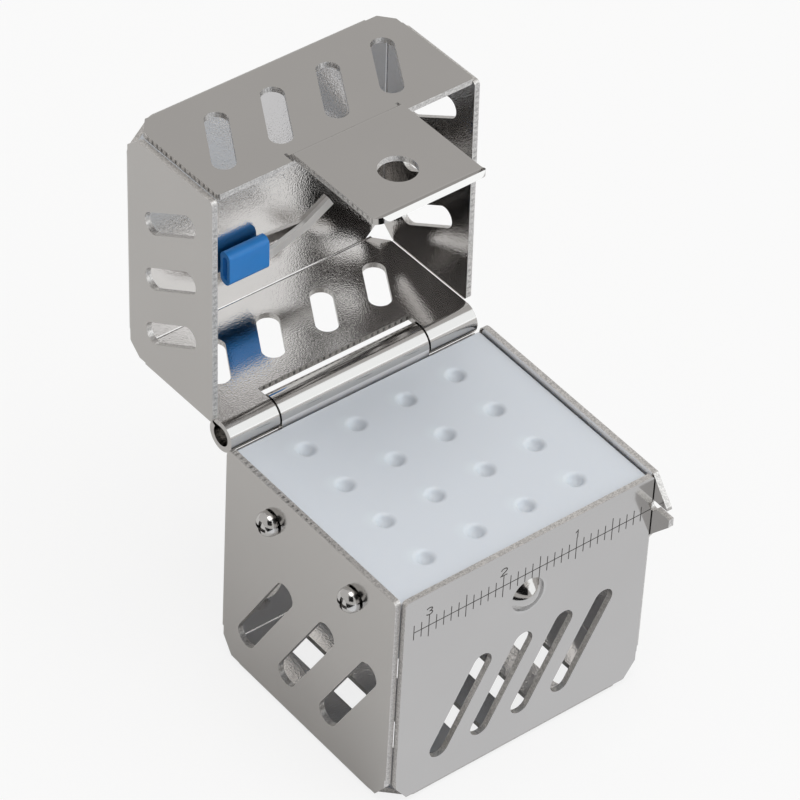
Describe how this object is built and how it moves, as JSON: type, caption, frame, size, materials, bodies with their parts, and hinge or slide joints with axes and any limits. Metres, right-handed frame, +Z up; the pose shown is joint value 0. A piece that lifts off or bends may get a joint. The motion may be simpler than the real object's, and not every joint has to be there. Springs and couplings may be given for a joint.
{
  "type": "endodontic file box",
  "caption": "Small perforated steel box with a hinged lid, a soft insert that holds files upright, and an engraved millimetre ruler on its front.",
  "frame": {"origin": "middle of the body's footprint, on the outer face of its bottom, which it rests on", "axes": "+X along the front wall towards the file stop and the ruler's zero, +Y from the front wall to the hinge, +Z up"},
  "size_m": [0.0384, 0.0517, 0.0649],
  "materials": {
    "steel": "satin, fine grain",
    "lid_steel": "satin outside, polished inside",
    "hardware": "turned",
    "spring_steel": "bright",
    "insert_silicone": "soft, pale grey",
    "sleeve_silicone": "soft, blue"
  },
  "bodies": {
    "base": {"body_shell": "steel", "hinge_pin": "hardware", "file_insert": "insert_silicone", "screw_left_rear": "hardware", "screw_left_front": "hardware", "screw_right_rear": "hardware", "screw_right_front": "hardware"},
    "lid": {"lid_shell": "lid_steel", "clip_blade": "spring_steel", "clip_sleeve": "sleeve_silicone"}
  },
  "joints": [
    {"name": "lid_hinge", "type": "hinge", "parent": "base", "child": "lid", "pos_m": [0, 0.0166, 0.0306], "axis": [1, 0, 0], "range_deg": [0, 91.7]}
  ]
}
